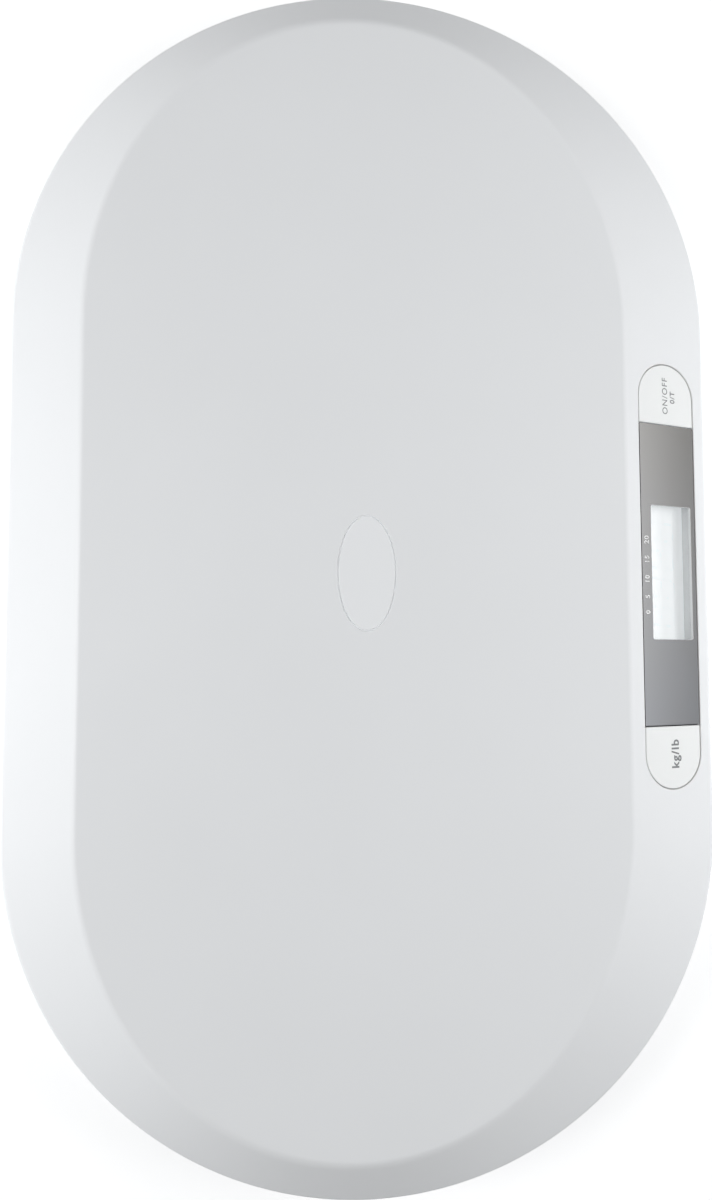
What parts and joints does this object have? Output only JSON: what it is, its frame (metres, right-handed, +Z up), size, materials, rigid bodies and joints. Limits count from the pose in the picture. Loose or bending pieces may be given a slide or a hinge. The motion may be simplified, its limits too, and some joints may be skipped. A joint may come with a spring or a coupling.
{
  "type": "digital baby weighing scale",
  "caption": "Flat oval baby scale: raised platform with a bevelled edge, display strip with push buttons in the front bevel, load sensing feet and a battery door below.",
  "frame": {"origin": "middle of the footprint, on the surface that the foot pads stand on", "axes": "+X along the length towards the power button end, -Y towards the display side, +Z up"},
  "size_m": [0.55, 0.3218, 0.052],
  "materials": {
    "platform_plastic": "cool white moulded plastic, fine satin texture",
    "base_plastic": "white moulded plastic",
    "button_plastic": "white moulded plastic, light gloss",
    "silver_panel": "silver painted plastic, satin metallic",
    "clear_window": "clear polished plastic sheet",
    "holder_plastic": "white moulded plastic",
    "lcd_glass": "pale reflective display glass",
    "contact_rubber": "layered silicone strip",
    "circuit_board": "green solder mask",
    "black_plastic": "black moulded plastic",
    "battery_jacket": "printed film jacket, plain",
    "plated_steel": "nickel plated spring steel",
    "screw_steel": "zinc plated steel",
    "sensor_steel": "stamped alloy steel",
    "pad_rubber": "matt grey rubber",
    "lead_sleeve": "pale soft sleeve",
    "red_lead": "red soft sleeve",
    "black_lead": "black soft sleeve"
  },
  "bodies": {
    "housing": {"top_cover": "platform_plastic", "bottom_cover": "base_plastic", "display_panel": "silver_panel", "display_window": "clear_window", "lcd_holder": "holder_plastic", "lcd_glass": "lcd_glass", "lcd_contact_strip": "contact_rubber", "main_board": "circuit_board", "controller_chip": "black_plastic", "power_switch": "black_plastic", "unit_switch": "black_plastic", "battery_1": "battery_jacket", "battery_2": "battery_jacket", "battery_3": "battery_jacket", "battery_4": "battery_jacket", "plus_contact": "plated_steel", "minus_contact": "plated_steel", "bridge_contact_1": "plated_steel", "bridge_contact_2": "plated_steel", "bridge_contact_3": "plated_steel", "contact_spring_1": "plated_steel", "contact_spring_2": "plated_steel", "contact_spring_3": "plated_steel", "contact_spring_4": "plated_steel", "load_sensor_1": "sensor_steel", "load_sensor_2": "sensor_steel", "load_sensor_3": "sensor_steel", "load_sensor_4": "sensor_steel", "sensor_bracket_1": "holder_plastic", "sensor_bracket_2": "holder_plastic", "sensor_bracket_3": "holder_plastic", "sensor_bracket_4": "holder_plastic", "housing_screw_1": "screw_steel", "housing_screw_2": "screw_steel", "housing_screw_3": "screw_steel", "housing_screw_4": "screw_steel", "housing_screw_5": "screw_steel", "housing_screw_6": "screw_steel", "board_screw_1": "screw_steel", "board_screw_2": "screw_steel", "sensor_lead_1": "lead_sleeve", "sensor_lead_2": "lead_sleeve", "sensor_lead_3": "lead_sleeve", "sensor_lead_4": "lead_sleeve", "plus_lead": "red_lead", "minus_lead": "black_lead"},
    "power_key": {"power_button": "button_plastic", "power_switch_plunger": "black_plastic"},
    "unit_key": {"unit_button": "button_plastic", "unit_switch_plunger": "black_plastic"},
    "door": {"battery_door": "base_plastic"},
    "front_right_foot": {"foot_1": "base_plastic", "foot_pad_1": "pad_rubber"},
    "back_right_foot": {"foot_2": "base_plastic", "foot_pad_2": "pad_rubber"},
    "back_left_foot": {"foot_3": "base_plastic", "foot_pad_3": "pad_rubber"},
    "front_left_foot": {"foot_4": "base_plastic", "foot_pad_4": "pad_rubber"}
  },
  "joints": [
    {"name": "power_press", "type": "slide", "parent": "housing", "child": "power_key", "axis": [0, 0.34, -0.9404], "range_m": [0, 0.0006], "stiffness_N_per_m": 3000},
    {"name": "unit_press", "type": "slide", "parent": "housing", "child": "unit_key", "axis": [0, 0.34, -0.9404], "range_m": [0, 0.0006], "stiffness_N_per_m": 3000},
    {"name": "door_hinge", "type": "hinge", "parent": "housing", "child": "door", "pos_m": [0, 0.02625, 0.009], "axis": [1, 0, 0], "range_deg": [0, 75]},
    {"name": "front_right_foot_float", "type": "slide", "parent": "housing", "child": "front_right_foot", "axis": [0, 0, 1], "range_m": [-0.0006, 0]},
    {"name": "back_right_foot_float", "type": "slide", "parent": "housing", "child": "back_right_foot", "axis": [0, 0, 1], "range_m": [-0.0006, 0]},
    {"name": "back_left_foot_float", "type": "slide", "parent": "housing", "child": "back_left_foot", "axis": [0, 0, 1], "range_m": [-0.0006, 0]},
    {"name": "front_left_foot_float", "type": "slide", "parent": "housing", "child": "front_left_foot", "axis": [0, 0, 1], "range_m": [-0.0006, 0]}
  ]
}
